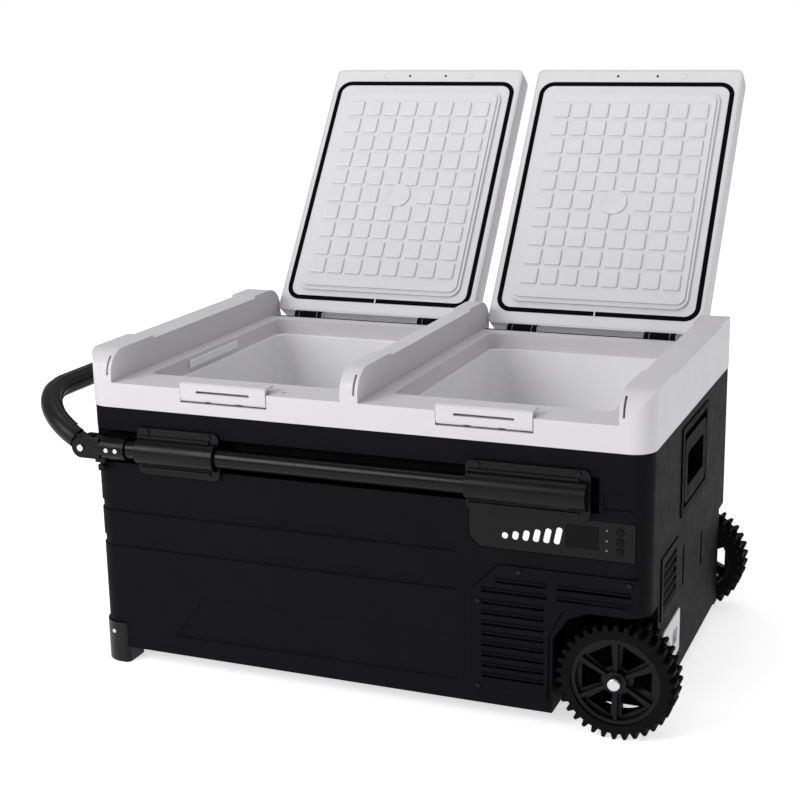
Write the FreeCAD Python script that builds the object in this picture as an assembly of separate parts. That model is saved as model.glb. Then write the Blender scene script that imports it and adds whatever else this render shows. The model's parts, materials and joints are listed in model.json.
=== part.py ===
"""Dual-zone compressor cooler on two wheels, with a telescopic pull handle.

Millimetres, +Z up, +X towards the wheels, front face towards -Y.  Everything is drawn in the
casing's own frame, centred on the casing with the floor at z = 0, and moved at the very end
so that the origin is the bottom centre of the whole object's box.
"""
import FreeCAD, Part
import math
import os
from FreeCAD import Vector

# ---- driving dimensions -------------------------------------------------------------------
CASE_LENGTH = 820.0
CASE_DEPTH = 540.0
CASE_CORNER = 30.0
CASE_WALL = 4.0
FLOOR_GAP = 24.0            # underside of the casing above the ground
RIM_BOTTOM = 392.0          # joint between the dark casing and the light rim
SEAT = 428.0                # surface that the lids close on
RAIL_TOP = 472.0

RIM_WALL = 5.0
RIM_PROUD = 1.0             # the rim stands this far outside the casing
RAIL_INNER = 368.0          # inner face of the end rails
MID_RAIL_HALF = 13.0

ZONE_X = 190.0              # centre of each compartment, left and right of the middle
OPENING_HALF_X = 148.0
OPENING_FRONT = -200.0
OPENING_BACK = 205.0
OPENING_CORNER = 30.0
COLLAR_CORNER = 9.0         # the collar above the tubs is squarer and a little wider
COLLAR_OUT = 5.0
COLLAR_DEPTH = 24.0
LINER_WALL = 3.0
TUB_FLOOR = 80.0
STEP_FLOOR = 252.0          # raised floor above the machine bay
STEP_X = 132.0
BAY_X = 168.0               # wall between the insulation and the machine bay
BAY_TOP = 232.0

LID_HALF_X = 176.0
TROUGH_HALF_X = 177.0
LID_FRONT = -243.0
LID_BACK = 240.0
LID_GAP = 2.0
LID_THICK = 42.0
LID_WALL = 3.5
LID_CORNER = 10.0
LID_EDGE = 7.0
LID_OPEN = 126.0            # degrees from closed to the stop
HINGE_Y = 250.0
HINGE_Z = SEAT
HINGE_OFFSET = 112.0        # each hinge from the lid's centre
PIN_RADIUS = 3.0
GASKET_HALF_X = 163.0
GASKET_FRONT = -214.0
GASKET_BACK = 214.0
GASKET_WIDTH = 8.0
GASKET_CORNER = 21.0

TUBE_Y = 274.0
TUBE_Z = 333.0
TUBE_RADIUS = 14.0
TUBE_LEFT = -404.0
TUBE_RIGHT = 306.0
CHANNEL_DEPTH = 18.0
CHANNEL_LOW = 310.0
CHANNEL_HIGH = 358.0
BRACKET_LEFT = (-328.0, -198.0)
BRACKET_RIGHT = (166.0, 334.0)
BRACKET_LOW = 299.0
BRACKET_HIGH = 367.0
PIVOT_X = -414.0
GRIP_TILT = 30.0
GRIP_REACH = 116.0
GRIP_START = 18.0
GRIP_RADIUS = 15.0

WHEEL_X = 368.0
WHEEL_RADIUS = 80.0
WHEEL_Y = 245.0
WHEEL_HALF = 24.0
HUB_RADIUS = 15.0
RIM_RADIUS = 60.0
LUGS = 34
AXLE_RADIUS = 6.0
ARCH_LEFT = 284.0
ARCH_TOP = 172.0
ARCH_DEPTH = 60.0

HALF_L = CASE_LENGTH / 2
HALF_D = CASE_DEPTH / 2
LATCH_PIVOT = (-266.0, 415.0)
LATCH_HALF = 66.0
TONGUE_TIP = -244.2         # the latch tongue stands just clear of the shut lid
BAIL_PIVOT = (404.0, 350.0)
BAIL_HALF = 62.0
RIVET_X = (-371.0, -356.0)
KNOB_X = -388.0
KNOB_Y = -277.0             # clear of the casing's face
BUTTON_X = 372.0
BUTTON_Z = (287.0, 274.0, 261.0)
DC_Y = -154.0
SOCKET_Z = 89.0
COMPRESSOR = (234.0, 100.0)
FAN_CENTRE = (224.0, 130.0)
CONDENSER_END = 267.0       # where the cross tubes leave the fins


# ---- small helpers ------------------------------------------------------------------------
def block(x, y, z):
    """A box from (low, high) pairs."""
    return Part.makeBox(x[1] - x[0], y[1] - y[0], z[1] - z[0], Vector(x[0], y[0], z[0]))


def rounded_block(x, y, z, corner, top=0.0):
    """A box with rounded upright edges and, with top, a rounded upper rim."""
    solid = block(x, y, z)
    upright = [e for e in solid.Edges if abs(e.tangentAt(e.FirstParameter).z) > 0.99]
    solid = solid.makeFillet(corner, upright)
    if top:
        rim = [e for e in solid.Edges if all(abs(v.Z - z[1]) < 1e-6 for v in e.Vertexes)]
        solid = solid.makeFillet(top, rim)
    return solid


def rod(start, end, radius):
    start, end = Vector(*start), Vector(*end)
    return Part.makeCylinder(radius, (end - start).Length, start, end - start)


def prism(points, direction):
    """A polygon of 3D points, pushed along direction."""
    wire = Part.makePolygon([Vector(*p) for p in points + points[:1]])
    return Part.Face(wire).extrude(Vector(*direction))


def prism_y(points, y):
    """An outline of (x, z) points between two y values."""
    return prism([(px, y[0], pz) for px, pz in points], (0, y[1] - y[0], 0))


def prism_x(points, x):
    """An outline of (y, z) points between two x values."""
    return prism([(x[0], py, pz) for py, pz in points], (x[1] - x[0], 0, 0))


def fuse(pieces):
    """One solid from overlapping or touching pieces."""
    return pieces[0].fuse(pieces[1:]).removeSplitter()


def cut(solid, tools):
    return solid.cut(Part.Compound(tools)) if len(tools) > 1 else solid.cut(tools[0])


def group(pieces):
    return Part.Compound(pieces)


def to_back(solid):
    """The same piece on the back face."""
    return solid.mirror(Vector(0, 0, 0), Vector(0, 1, 0))


def both_faces(solid):
    return [solid, to_back(solid)]


def pipe(points, radius, bend):
    """A round pipe through the points, with tangent bends."""
    pts = [Vector(*p) for p in points]
    edges, last = [], pts[0]
    for before, corner, after in zip(pts, pts[1:], pts[2:]):
        back = (before - corner).normalize()
        on = (after - corner).normalize()
        half = back.getAngle(on) / 2
        reach = bend / math.tan(half)
        enter, leave = corner + back * reach, corner + on * reach
        centre_line = (back + on).normalize()
        middle = corner + centre_line * (bend / math.sin(half) - bend)
        edges.append(Part.LineSegment(last, enter).toShape())
        edges.append(Part.Arc(enter, middle, leave).toShape())
        last = leave
    edges.append(Part.LineSegment(last, pts[-1]).toShape())
    circle = Part.Wire(Part.Circle(pts[0], pts[1] - pts[0], radius).toShape())
    return Part.Wire(edges).makePipeShell([circle], True, False)


# ---- casing -------------------------------------------------------------------------------
def arch_outline(grow):
    """Side view of a wheel arch at the right end, grown by a wall thickness."""
    left, top = ARCH_LEFT - grow, ARCH_TOP + grow
    return [(left, 0), (left, top - 42), (left + 20, top - 12), (left + 46, top),
            (HALF_L + 20, top), (HALF_L + 20, 0)]


def arch(grow):
    inner = HALF_D - ARCH_DEPTH - grow
    return prism_y(arch_outline(grow), (-HALF_D - 20, -inner))


def tube_channel(grow):
    low, high = CHANNEL_LOW - grow, CHANNEL_HIGH + grow
    floor = -HALF_D + CHANNEL_DEPTH + grow
    return block((-HALF_L - 20, 344 + grow), (-HALF_D - 20, floor), (low, high))


def panel_outline(inset):
    """Control panel: a long plate whose left end is swept back."""
    left, right, low, high = 168 + inset, 392 - inset, 247 + inset, 300 - inset
    return [(left + 14, low), (right, low), (right, high), (left, high), (left, low + 14)]


def vent_outline(inset):
    """Front vent cover: cut off at the upper left, stepped round the wheel arch."""
    left, right, low, high = 172 + inset, 398 - inset, 40 + inset, 226 - inset
    return [(left, low), (ARCH_LEFT - 5 - inset, low), (ARCH_LEFT - 5 - inset, ARCH_TOP - 38),
            (ARCH_LEFT + 14, ARCH_TOP + inset), (ARCH_LEFT + 44, ARCH_TOP + 12 + inset),
            (right, ARCH_TOP + 12 + inset), (right, high), (left + 38, high), (left, high - 38)]


def cavity():
    """The room inside the casing walls."""
    wall = CASE_WALL
    room = rounded_block((-HALF_L + wall, HALF_L - wall), (-HALF_D + wall, HALF_D - wall),
                         (FLOOR_GAP + wall, RIM_BOTTOM), CASE_CORNER - wall)
    walls = both_faces(arch(wall)) + both_faces(tube_channel(wall))
    walls.append(prism_y(panel_outline(-wall), (-HALF_D - 20, -HALF_D + 5 + wall)))
    return cut(room, walls)


def wrap_groove(low, high, depth):
    """A shallow groove round the left end, running along both long faces."""
    outer = block((-HALF_L - 5, 150), (-HALF_D - 5, HALF_D + 5), (low, high))
    inner = rounded_block((-HALF_L + depth, HALF_L), (-HALF_D + depth, HALF_D - depth),
                          (low - 1, high + 1), CASE_CORNER - depth)
    return outer.cut(inner)


def outer_casing():
    shell = rounded_block((-HALF_L, HALF_L), (-HALF_D, HALF_D), (FLOOR_GAP, RIM_BOTTOM),
                          CASE_CORNER)
    tools = [cavity()] + both_faces(arch(0)) + both_faces(tube_channel(0))
    tools += [wrap_groove(236, 249, 2), wrap_groove(182, 196, 2)]
    # long shallow field low on the front, its left end swept
    tools.append(prism_y([(-285, 53), (150, 53), (150, 118), (-238, 118)],
                         (-HALF_D - 5, -HALF_D + 1.5)))
    tools.append(prism_y(panel_outline(0), (-HALF_D - 5, -HALF_D + 4)))
    tools.append(prism_y(vent_outline(0), (-HALF_D - 5, -HALF_D + 2)))
    tools.append(block((184, 276), (-HALF_D - 5, -HALF_D + 9), (62, 196)))
    tools.append(block((298, 392), (-HALF_D - 5, -HALF_D + 9), (190, 214)))
    # shallow step that carries the channel's line on to the right-hand corner
    tools += both_faces(block((350, 396), (-HALF_D - 5, -HALF_D + 2), (316, 338)))
    # right end: window for the handle cup, louvre window, two air slots, socket window
    tools.append(block((HALF_L - 9, HALF_L + 5), (-80, 80), (258, 372)))
    tools.append(block((HALF_L - 9, HALF_L + 5), (-194, -104), (148, 226)))
    tools.append(block((HALF_L - 9, HALF_L + 5), (-60, -50), (144, 202)))
    tools.append(block((HALF_L - 9, HALF_L + 5), (66, 76), (132, 182)))
    tools.append(block((HALF_L - 9, HALF_L + 5), (-178, -86), (62, 116)))
    # drain at the left end, axle holes in the arch walls
    tools.append(rod((-HALF_L - 5, 0, 96), (-HALF_L + 9, 0, 96), 7.5))
    tools.append(rod((WHEEL_X, -HALF_D, WHEEL_RADIUS), (WHEEL_X, HALF_D, WHEEL_RADIUS), 6.05))
    return cut(shell, tools)


def tub_room(side):
    """The hollow of a compartment below the rim's collar."""
    x = (side * ZONE_X - OPENING_HALF_X, side * ZONE_X + OPENING_HALF_X)
    y = (OPENING_FRONT, OPENING_BACK)
    z_top = SEAT - COLLAR_DEPTH
    if side < 0:
        return rounded_block(x, y, (TUB_FLOOR, z_top), OPENING_CORNER)
    deep = rounded_block((x[0], STEP_X), y, (TUB_FLOOR, z_top), OPENING_CORNER)
    shallow = rounded_block(x, y, (STEP_FLOOR, z_top), OPENING_CORNER)
    return fuse([deep, shallow])


def tub_outside(side):
    """The tub's outer surface, with the flange that hangs under the rim's collar."""
    wall = LINER_WALL
    x = (side * ZONE_X - OPENING_HALF_X - wall, side * ZONE_X + OPENING_HALF_X + wall)
    y = (OPENING_FRONT - wall, OPENING_BACK + wall)
    z_top = SEAT - COLLAR_DEPTH
    reach = COLLAR_OUT + RIM_WALL - wall
    flange = rounded_block((x[0] - reach, x[1] + reach), (y[0] - reach, y[1] + reach),
                           (z_top - wall, z_top), COLLAR_CORNER + RIM_WALL)
    if side < 0:
        return fuse([rounded_block(x, y, (TUB_FLOOR - wall, z_top), OPENING_CORNER + wall),
                     flange])
    deep = rounded_block((x[0], STEP_X + wall), y, (TUB_FLOOR - wall, z_top),
                         OPENING_CORNER + wall)
    shallow = rounded_block(x, y, (STEP_FLOOR - wall, z_top), OPENING_CORNER + wall)
    return fuse([deep, shallow, flange])


def drain_bore():
    """The passage from the left tub's lower corner out through the end wall."""
    return rod((-HALF_L, 0, 96), (-ZONE_X - OPENING_HALF_X + 5, 0, 96), 7.5)


def liner(side):
    shell = tub_outside(side).cut(tub_room(side))
    return shell.cut(drain_bore()) if side < 0 else shell


def evaporator(side):
    """Cold plate wrapped round the outside of a tub."""
    wall, sheet = LINER_WALL, 2.0
    x = (side * ZONE_X - OPENING_HALF_X - wall, side * ZONE_X + OPENING_HALF_X + wall)
    y = (OPENING_FRONT - wall, OPENING_BACK + wall)
    z = (150, 350) if side < 0 else (268, 384)
    outer = rounded_block((x[0] - sheet, x[1] + sheet), (y[0] - sheet, y[1] + sheet), z,
                          OPENING_CORNER + wall + sheet)
    inner = rounded_block(x, y, z, OPENING_CORNER + wall)
    return outer.cut(inner)


def insulation_foam():
    inset = CASE_WALL + 4
    top = rounded_block((-HALF_L + inset, HALF_L - inset), (-HALF_D + inset, HALF_D - inset),
                        (RIM_BOTTOM, SEAT - COLLAR_DEPTH - 1), CASE_CORNER - inset)
    bay = block((BAY_X, HALF_L), (-HALF_D, HALF_D), (0, BAY_TOP))
    foam = fuse([cavity(), top])
    tools = [bay, tub_outside(-1), tub_outside(1), evaporator(-1), evaporator(1), drain_bore(),
             end_cup_outside()]
    tools += [block((c - LATCH_HALF - 7, c + LATCH_HALF + 7), (-HALF_D, -254),
                    (RIM_BOTTOM, SEAT)) for c in latch_centres()]
    return cut(foam, tools)


# ---- rim and rails ------------------------------------------------------------------------
def rail_outline():
    """Side view of a rail: sloping front, rounded nose, rounded tail."""
    nose, tail = -HALF_D - RIM_PROUD, HALF_D + RIM_PROUD
    low, top = SEAT - 12, RAIL_TOP
    quarter = [math.radians(10 * i) for i in range(10)]
    tail_arc = [(tail - 40 + 40 * math.sin(a), top - 34 + 34 * math.cos(a)) for a in quarter]
    nose_arc = [(nose + 36 - 36 * math.cos(a), top - 34 + 34 * math.sin(a)) for a in quarter]
    return [(tail, low), (nose, low)] + nose_arc + tail_arc


def rail(x):
    """One rail with raised pads at its two ends."""
    bar = prism_x(rail_outline(), x)
    dip = block((x[0] - 1, x[1] + 1), (-150, 178), (RAIL_TOP - 4, RAIL_TOP + 1))
    return bar.cut(dip)


def rail_hollow(x):
    return block((x[0] + RIM_WALL, x[1] - RIM_WALL), (-222, 236), (SEAT - 6, RAIL_TOP - 9))


def opening(side, grow=0.0):
    out = COLLAR_OUT + grow
    x = (side * ZONE_X - OPENING_HALF_X - out, side * ZONE_X + OPENING_HALF_X + out)
    y = (OPENING_FRONT - out, OPENING_BACK + out)
    return rounded_block(x, y, (SEAT - COLLAR_DEPTH, SEAT + 1 - grow), COLLAR_CORNER + grow)


def hinge_spans():
    """X centres of the four hinges."""
    return [side * ZONE_X + off for side in (-1, 1) for off in (-HINGE_OFFSET, HINGE_OFFSET)]


def hinge_ears():
    ears = []
    for centre in hinge_spans():
        for off in (-21, 21):
            x = (centre + off - 4, centre + off + 4)
            ears.append(rod((x[0], HINGE_Y, HINGE_Z), (x[1], HINGE_Y, HINGE_Z), 8))
            ears.append(block(x, (HINGE_Y - 8, HINGE_Y + 8), (SEAT - 22, HINGE_Z)))
    return ears


def latch_centres():
    return [-ZONE_X, ZONE_X]


def top_rim():
    half_x, half_y = HALF_L + RIM_PROUD, HALF_D + RIM_PROUD
    plan = rounded_block((-half_x, half_x), (-half_y, half_y), (RIM_BOTTOM, RAIL_TOP + 1),
                         CASE_CORNER + RIM_PROUD)
    deck = block((-half_x, half_x), (-half_y, half_y), (RIM_BOTTOM, SEAT))
    left, middle, right = (-half_x, -RAIL_INNER), (-MID_RAIL_HALF, MID_RAIL_HALF), \
        (RAIL_INNER, half_x)
    body = fuse([deck, rail(left), rail(middle), rail(right)]).common(plan)
    wall = RIM_WALL
    low = RIM_BOTTOM - 1
    pocket = rounded_block((-half_x + wall, half_x - wall), (-half_y + wall, 230),
                           (low, SEAT - wall), CASE_CORNER - wall)
    back_pocket = rounded_block((-half_x + wall, half_x - wall), (200, half_y - wall),
                                (low, SEAT - COLLAR_DEPTH - 1), CASE_CORNER - wall)
    hollow = fuse([pocket, back_pocket])
    hollow = cut(hollow, [opening(-1, wall), opening(1, wall)])
    tools = [hollow, opening(-1), opening(1)]
    tools += [rail_hollow(left), rail_hollow(middle), rail_hollow(right)]
    # hinge trough behind each lid, latch pockets in the front edge
    tools += [block((side * ZONE_X - TROUGH_HALF_X, side * ZONE_X + TROUGH_HALF_X),
                    (HINGE_Y - 13, half_y + 1), (SEAT - 20, RAIL_TOP)) for side in (-1, 1)]
    tools += [block((c - LATCH_HALF - 1, c + LATCH_HALF + 1), (-half_y - 1, -half_y + 11),
                    (LATCH_PIVOT[1] - 7, SEAT + 1)) for c in latch_centres()]
    # narrow slots in the rails' front posts and the oval dimple on the left seat
    tools += [block((x - 1.5, x + 1.5), (-273, -244), (SEAT + 10, SEAT + 36))
              for x in (-RAIL_INNER - 6, MID_RAIL_HALF - 6, RAIL_INNER + 6)]
    tools.append(rounded_block((-110, -88), (-252, -242), (SEAT - 2, SEAT + 1), 4.9))
    body = cut(body, tools)
    body = fuse([body] + latch_backs() + hinge_ears())
    return cut(body, [rod((x - 30, HINGE_Y, HINGE_Z), (x + 30, HINGE_Y, HINGE_Z), PIN_RADIUS)
                      for x in hinge_spans()] + [latch_pin_bore(c) for c in latch_centres()])


def latch_backs():
    """Wall behind the latch pockets, with the ears that hold each latch pin."""
    back = -HALF_D - RIM_PROUD + 11
    pieces = []
    for c in latch_centres():
        pieces.append(block((c - LATCH_HALF - 5, c + LATCH_HALF + 5), (back, back + 4),
                            (RIM_BOTTOM, SEAT)))
        for x in (c - 24, c + 24):
            pieces.append(rod((x - 4, *LATCH_PIVOT), (x + 4, *LATCH_PIVOT), 4.4))
            pieces.append(block((x - 4, x + 4), (LATCH_PIVOT[0], back),
                                (LATCH_PIVOT[1] - 4.4, LATCH_PIVOT[1] + 4.4)))
    return pieces


def latch_pin_bore(c):
    return rod((c - LATCH_HALF, *LATCH_PIVOT), (c + LATCH_HALF, *LATCH_PIVOT), 2.0)


# ---- lids ---------------------------------------------------------------------------------
LID_LOW = SEAT + LID_GAP


def lid_outside():
    return rounded_block((-LID_HALF_X, LID_HALF_X), (LID_FRONT, LID_BACK),
                         (LID_LOW, LID_LOW + LID_THICK), LID_CORNER, LID_EDGE)


def lid_hollow():
    wall = LID_WALL
    return rounded_block((-LID_HALF_X + wall, LID_HALF_X - wall),
                         (LID_FRONT + wall, LID_BACK - wall),
                         (LID_LOW - 1, LID_LOW + LID_THICK - wall), LID_CORNER - wall)


def lid_shell():
    """Outer skin with the hinge knuckles and a pocket that the latch tongue enters."""
    pieces = [lid_outside().cut(lid_hollow())]
    for centre in (-HINGE_OFFSET, HINGE_OFFSET):
        x = (centre - 16, centre + 16)
        pieces.append(rod((x[0], HINGE_Y, HINGE_Z), (x[1], HINGE_Y, HINGE_Z), 8))
        pieces.append(block(x, (LID_BACK - LID_WALL, HINGE_Y), (LID_LOW + 1, HINGE_Z + 8)))
    shell = fuse(pieces)
    bores = [rod((c - 17, HINGE_Y, HINGE_Z), (c + 17, HINGE_Y, HINGE_Z), PIN_RADIUS + 0.05)
             for c in (-HINGE_OFFSET, HINGE_OFFSET)]
    pocket = block((-LATCH_HALF - 2, LATCH_HALF + 2), (LID_FRONT - 1, LID_FRONT + 2.4),
                   (LID_LOW + 1.5, LID_LOW + 11))
    return cut(shell, bores + [pocket])


def gasket_ring(extra=0.0, z=(LID_LOW - 1.6, LID_LOW + 3)):
    half = GASKET_WIDTH / 2 + extra
    outer = rounded_block((-GASKET_HALF_X - half, GASKET_HALF_X + half),
                          (GASKET_FRONT - half, GASKET_BACK + half), z, GASKET_CORNER + half)
    inner = rounded_block((-GASKET_HALF_X + half, GASKET_HALF_X - half),
                          (GASKET_FRONT + half, GASKET_BACK - half), z, GASKET_CORNER - half)
    return outer.cut(inner)


def lid_liner():
    """Inner skin: flat margin with the gasket groove, and a raised plug with soft squares."""
    wall = LID_WALL
    skin = rounded_block((-LID_HALF_X + wall, LID_HALF_X - wall),
                         (LID_FRONT + wall, LID_BACK - wall), (LID_LOW, LID_LOW + 5),
                         LID_CORNER - wall)
    step = rounded_block((-146, 146), (-197, 200), (LID_LOW - 4, LID_LOW + 2), 20)
    plug = rounded_block((-141, 141), (-191, 193), (LID_LOW - 7, LID_LOW - 2), 14)
    return cut(fuse([skin, step, plug]), [gasket_ring(), plug_core()])


def plug_core():
    """Room behind the raised plug, filled with the lid's foam."""
    return rounded_block((-138, 138), (-188, 190), (LID_LOW - 4.5, LID_LOW + 5), 12)


def lid_foam():
    wall = LID_WALL
    slab = rounded_block((-LID_HALF_X + wall, LID_HALF_X - wall),
                         (LID_FRONT + wall, LID_BACK - wall),
                         (LID_LOW + 5, LID_LOW + LID_THICK - wall), LID_CORNER - wall)
    return fuse([slab, plug_core()])


def opened(solid, side):
    """Turn a lid piece from closed to the open stop and move it to its side."""
    piece = solid.copy()
    piece.rotate(Vector(0, HINGE_Y, HINGE_Z), Vector(1, 0, 0), -LID_OPEN)
    piece.translate(Vector(side * ZONE_X, 0, 0))
    return piece


def hinge_pins():
    return group([rod((x - 25, HINGE_Y, HINGE_Z), (x + 25, HINGE_Y, HINGE_Z), PIN_RADIUS)
                  for x in hinge_spans()])


def latch(c):
    """Catch plate in the rim's front edge, pivoting at its foot, with a finger slot."""
    face = -HALF_D - RIM_PROUD - 1
    x = (c - LATCH_HALF, c + LATCH_HALF)
    tongue_low = LID_LOW + 4.2
    plate = prism_x([(face, LATCH_PIVOT[1]), (face + 5.5, LATCH_PIVOT[1]),
                     (face + 5.5, tongue_low), (TONGUE_TIP, tongue_low),
                     (TONGUE_TIP, tongue_low + 2.6), (face + 2, tongue_low + 3),
                     (face, tongue_low + 0.5)], x)
    foot = rod((x[0], *LATCH_PIVOT), (x[1], *LATCH_PIVOT), 5.5)
    tools = [block((ear - 5, ear + 5), (face + 1.5, face + 14),
                   (LATCH_PIVOT[1] - 7, LATCH_PIVOT[1] + 6.5)) for ear in (c - 24, c + 24)]
    tools.append(rounded_slot((c - 40, c + 40), (face - 1, face + 7), (423.0, 426.5)))
    tools.append(rod((x[0] - 1, *LATCH_PIVOT), (x[1] + 1, *LATCH_PIVOT), 2.05))
    return cut(fuse([plate, foot]), tools)


def rounded_slot(x, y, z):
    """A slot through a front plate, with round ends."""
    radius = (z[1] - z[0]) / 2
    middle = z[0] + radius
    ends = [rod((end, y[0], middle), (end, y[1], middle), radius) for end in x]
    return fuse([block(x, y, z)] + ends)


def latch_pins():
    return group([rod((c - 40, *LATCH_PIVOT), (c + 40, *LATCH_PIVOT), 2.0)
                  for c in latch_centres()])


def led_lamp():
    """Slim lamp let into the left tub's upper wall."""
    x = -ZONE_X - OPENING_HALF_X - COLLAR_OUT
    return block((x, x + 3), (-95, 60), (SEAT - 17, SEAT - 5))


# ---- pull handle --------------------------------------------------------------------------
def bracket_screw_places(x):
    return [(x[0] + 16, BRACKET_HIGH - 6), (x[1] - 16, BRACKET_HIGH - 6)]


def bracket(x, closed):
    """Guide for the pull tube: flange with a half-round housing over the channel."""
    face = -HALF_D
    flange = block(x, (face - 5, face), (BRACKET_LOW, BRACKET_HIGH))
    corners = [e for e in flange.Edges if abs(e.tangentAt(e.FirstParameter).y) > 0.99]
    flange = flange.makeFillet(9, corners)
    housing = rod((x[0] + 3, -TUBE_Y, TUBE_Z), (x[1] - 3, -TUBE_Y, TUBE_Z), 20)
    housing = housing.common(block(x, (face - 40, face + CHANNEL_DEPTH - 1),
                                   (BRACKET_LOW, BRACKET_HIGH)))
    ribs = [block((x[0] + 4, x[1] - 14), (face - 8, face), (z - 2, z + 2)) for z in (308, 354)]
    end = x[1] - 10 if closed else x[1] + 1
    bore = rod((x[0] - 1, -TUBE_Y, TUBE_Z), (end, -TUBE_Y, TUBE_Z), TUBE_RADIUS + 0.3)
    screws = [rod((sx, face - 6, sz), (sx, face + 1, sz), 2.5)
              for sx, sz in bracket_screw_places(x)]
    return cut(fuse([flange, housing] + ribs), [bore] + screws)


def screw(x, y, z, head, shank, length):
    """Pan-head screw on the front face, pointing to the back."""
    return fuse([rod((x, y - 2, z), (x, y, z), head), rod((x, y, z), (x, y + length, z), shank)])


def bracket_screws():
    screws = [screw(sx, -HALF_D - 5, sz, 4.5, 2.5, 4.9)
              for x in (BRACKET_LEFT, BRACKET_RIGHT) for sx, sz in bracket_screw_places(x)]
    return group(screws + [to_back(s) for s in screws])


def pull_tube():
    solid = rod((TUBE_LEFT + 20, -TUBE_Y, TUBE_Z), (TUBE_RIGHT, -TUBE_Y, TUBE_Z), TUBE_RADIUS)
    bore = rod((TUBE_LEFT, -TUBE_Y, TUBE_Z), (TUBE_RIGHT + 1, -TUBE_Y, TUBE_Z),
               TUBE_RADIUS - 2)
    return solid.cut(bore)


def tube_elbow():
    """Socket on the tube's end with a fork for the grip's leg and a lock boss below."""
    pieces = [rod((-392, -TUBE_Y, TUBE_Z), (-344, -TUBE_Y, TUBE_Z), 17.5)]
    for y in ((-TUBE_Y - 16, -TUBE_Y - 9), (-TUBE_Y + 9, -TUBE_Y + 15)):
        pieces.append(rod((PIVOT_X, y[0], TUBE_Z), (PIVOT_X, y[1], TUBE_Z), 15))
        pieces.append(block((PIVOT_X, -390), y, (TUBE_Z - 15, TUBE_Z + 15)))
    pieces.append(block((-394, -384), (-TUBE_Y - 16, -TUBE_Y + 15),
                        (TUBE_Z - 15, TUBE_Z + 15)))
    pieces.append(block((KNOB_X - 8, KNOB_X + 8), (-TUBE_Y - 8, -TUBE_Y + 8),
                        (311, TUBE_Z - 12)))
    bores = [rod((-384, -TUBE_Y, TUBE_Z), (-340, -TUBE_Y, TUBE_Z), TUBE_RADIUS),
             rod((PIVOT_X, -TUBE_Y - 20, TUBE_Z), (PIVOT_X, -TUBE_Y + 20, TUBE_Z), 4.0),
             rod((KNOB_X, KNOB_Y, 300), (KNOB_X, KNOB_Y, 318), 3.3)]
    rivets = [rod((x, -TUBE_Y - 18, TUBE_Z), (x, -TUBE_Y - 16.5, TUBE_Z), 3.4) for x in RIVET_X]
    return cut(fuse(pieces), bores + rivets)


def lock_knob():
    """Sprung button under the elbow."""
    return fuse([rod((KNOB_X, KNOB_Y, 304), (KNOB_X, KNOB_Y, 316), 3),
                 rod((KNOB_X, KNOB_Y, 299), (KNOB_X, KNOB_Y, 307), 6)])


def grip_point(reach, y):
    """A point of the grip's tilted plane."""
    tilt = math.radians(GRIP_TILT)
    return Vector(PIVOT_X - reach * math.cos(tilt), y, TUBE_Z + reach * math.sin(tilt))


def grip_eye():
    """Flat eye at the foot of the front leg, between the elbow's cheeks."""
    disc = rod((PIVOT_X, -TUBE_Y - 8.6, TUBE_Z), (PIVOT_X, -TUBE_Y + 8.6, TUBE_Z), 13)
    neck = block((PIVOT_X - GRIP_START - 3, PIVOT_X), (-TUBE_Y - 8.6, -TUBE_Y + 8.6),
                 (TUBE_Z - 11, TUBE_Z + 11))
    neck.rotate(Vector(PIVOT_X, 0, TUBE_Z), Vector(0, 1, 0), GRIP_TILT)
    return disc.fuse(neck)


def pull_grip():
    """Thick U-shaped grip round the left end, with an eye at each leg's foot."""
    bend = GRIP_REACH - GRIP_START
    turn = TUBE_Y - bend
    slant = bend * math.sqrt(0.5)
    front = [grip_point(GRIP_START, -TUBE_Y), grip_point(GRIP_START + slant, -turn - slant),
             grip_point(GRIP_REACH, -turn)]
    back = [grip_point(GRIP_REACH, turn), grip_point(GRIP_START + slant, turn + slant),
            grip_point(GRIP_START, TUBE_Y)]
    path = Part.Wire([Part.Arc(*front).toShape(),
                      Part.LineSegment(front[2], back[0]).toShape(),
                      Part.Arc(*back).toShape()])
    along = grip_point(1, 0) - grip_point(0, 0)
    circle = Part.Wire(Part.Circle(front[0], along, GRIP_RADIUS).toShape())
    bar = path.makePipeShell([circle], True, False)
    grip = fuse([bar] + both_faces(grip_eye()))
    return cut(grip, [rod((PIVOT_X, -300, TUBE_Z), (PIVOT_X, 300, TUBE_Z), 4.05)])


def elbow_pins():
    """The grip's pivot pins and two rivets through each elbow, with bright heads."""
    pins = [fuse([rod((PIVOT_X, -TUBE_Y - 16, TUBE_Z), (PIVOT_X, -TUBE_Y + 15, TUBE_Z), 4),
                  rod((PIVOT_X, -TUBE_Y - 18.5, TUBE_Z), (PIVOT_X, -TUBE_Y - 16, TUBE_Z), 5)])]
    pins += [rod((x, -TUBE_Y - 18.4, TUBE_Z), (x, -TUBE_Y - 16.5, TUBE_Z), 3.4) for x in RIVET_X]
    return group(pins + [to_back(p) for p in pins])


# ---- wheels -------------------------------------------------------------------------------
def wheel_prism(points, y):
    """A wheel piece from (x, z) offsets about the hub."""
    return prism_y([(WHEEL_X + px, WHEEL_RADIUS + pz) for px, pz in points], y)


def wheel_ring(outer, inner, y):
    ends = (WHEEL_X, y[0], WHEEL_RADIUS), (WHEEL_X, y[1], WHEEL_RADIUS)
    return rod(*ends, outer).cut(rod(*ends, inner))


def polar(radius, degrees):
    angle = math.radians(degrees)
    return radius * math.cos(angle), radius * math.sin(angle)


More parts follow.
